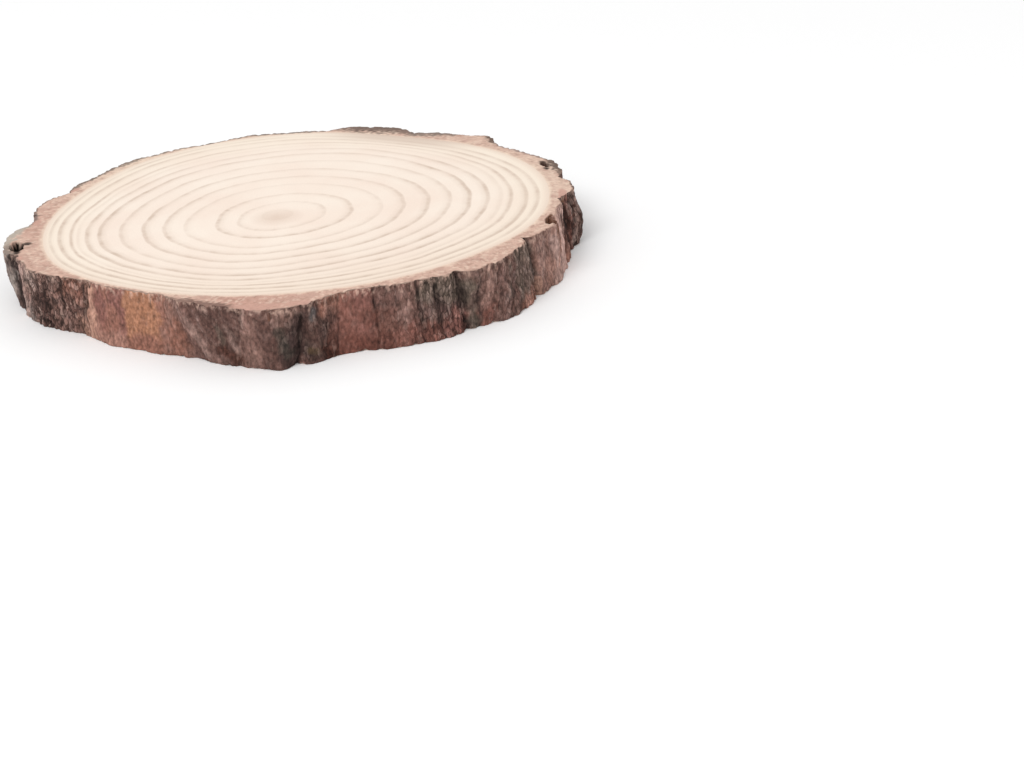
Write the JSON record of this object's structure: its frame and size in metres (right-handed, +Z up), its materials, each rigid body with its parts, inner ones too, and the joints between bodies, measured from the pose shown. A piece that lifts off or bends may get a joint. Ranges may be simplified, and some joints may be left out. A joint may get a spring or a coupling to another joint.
{
  "type": "wood slice",
  "caption": "Round slice sawn across a young trunk, with pale ringed wood and a rim of furrowed bark; lies flat as a coaster, stand or craft blank.",
  "frame": {"origin": "under the middle of the outline, on the lower sawn face", "axes": "+Z up along the trunk, -Y towards the front of the slice, +X to the right seen from the front"},
  "size_m": [0.149, 0.1442, 0.015],
  "materials": {
    "wood": "bare sawn and sanded end grain with growth rings",
    "bark": "rough plum-brown bark with grey-green and tan patches, pinkish where sawn"
  },
  "bodies": {
    "root": {"wood": "wood", "bark": "bark"}
  },
  "joints": []
}
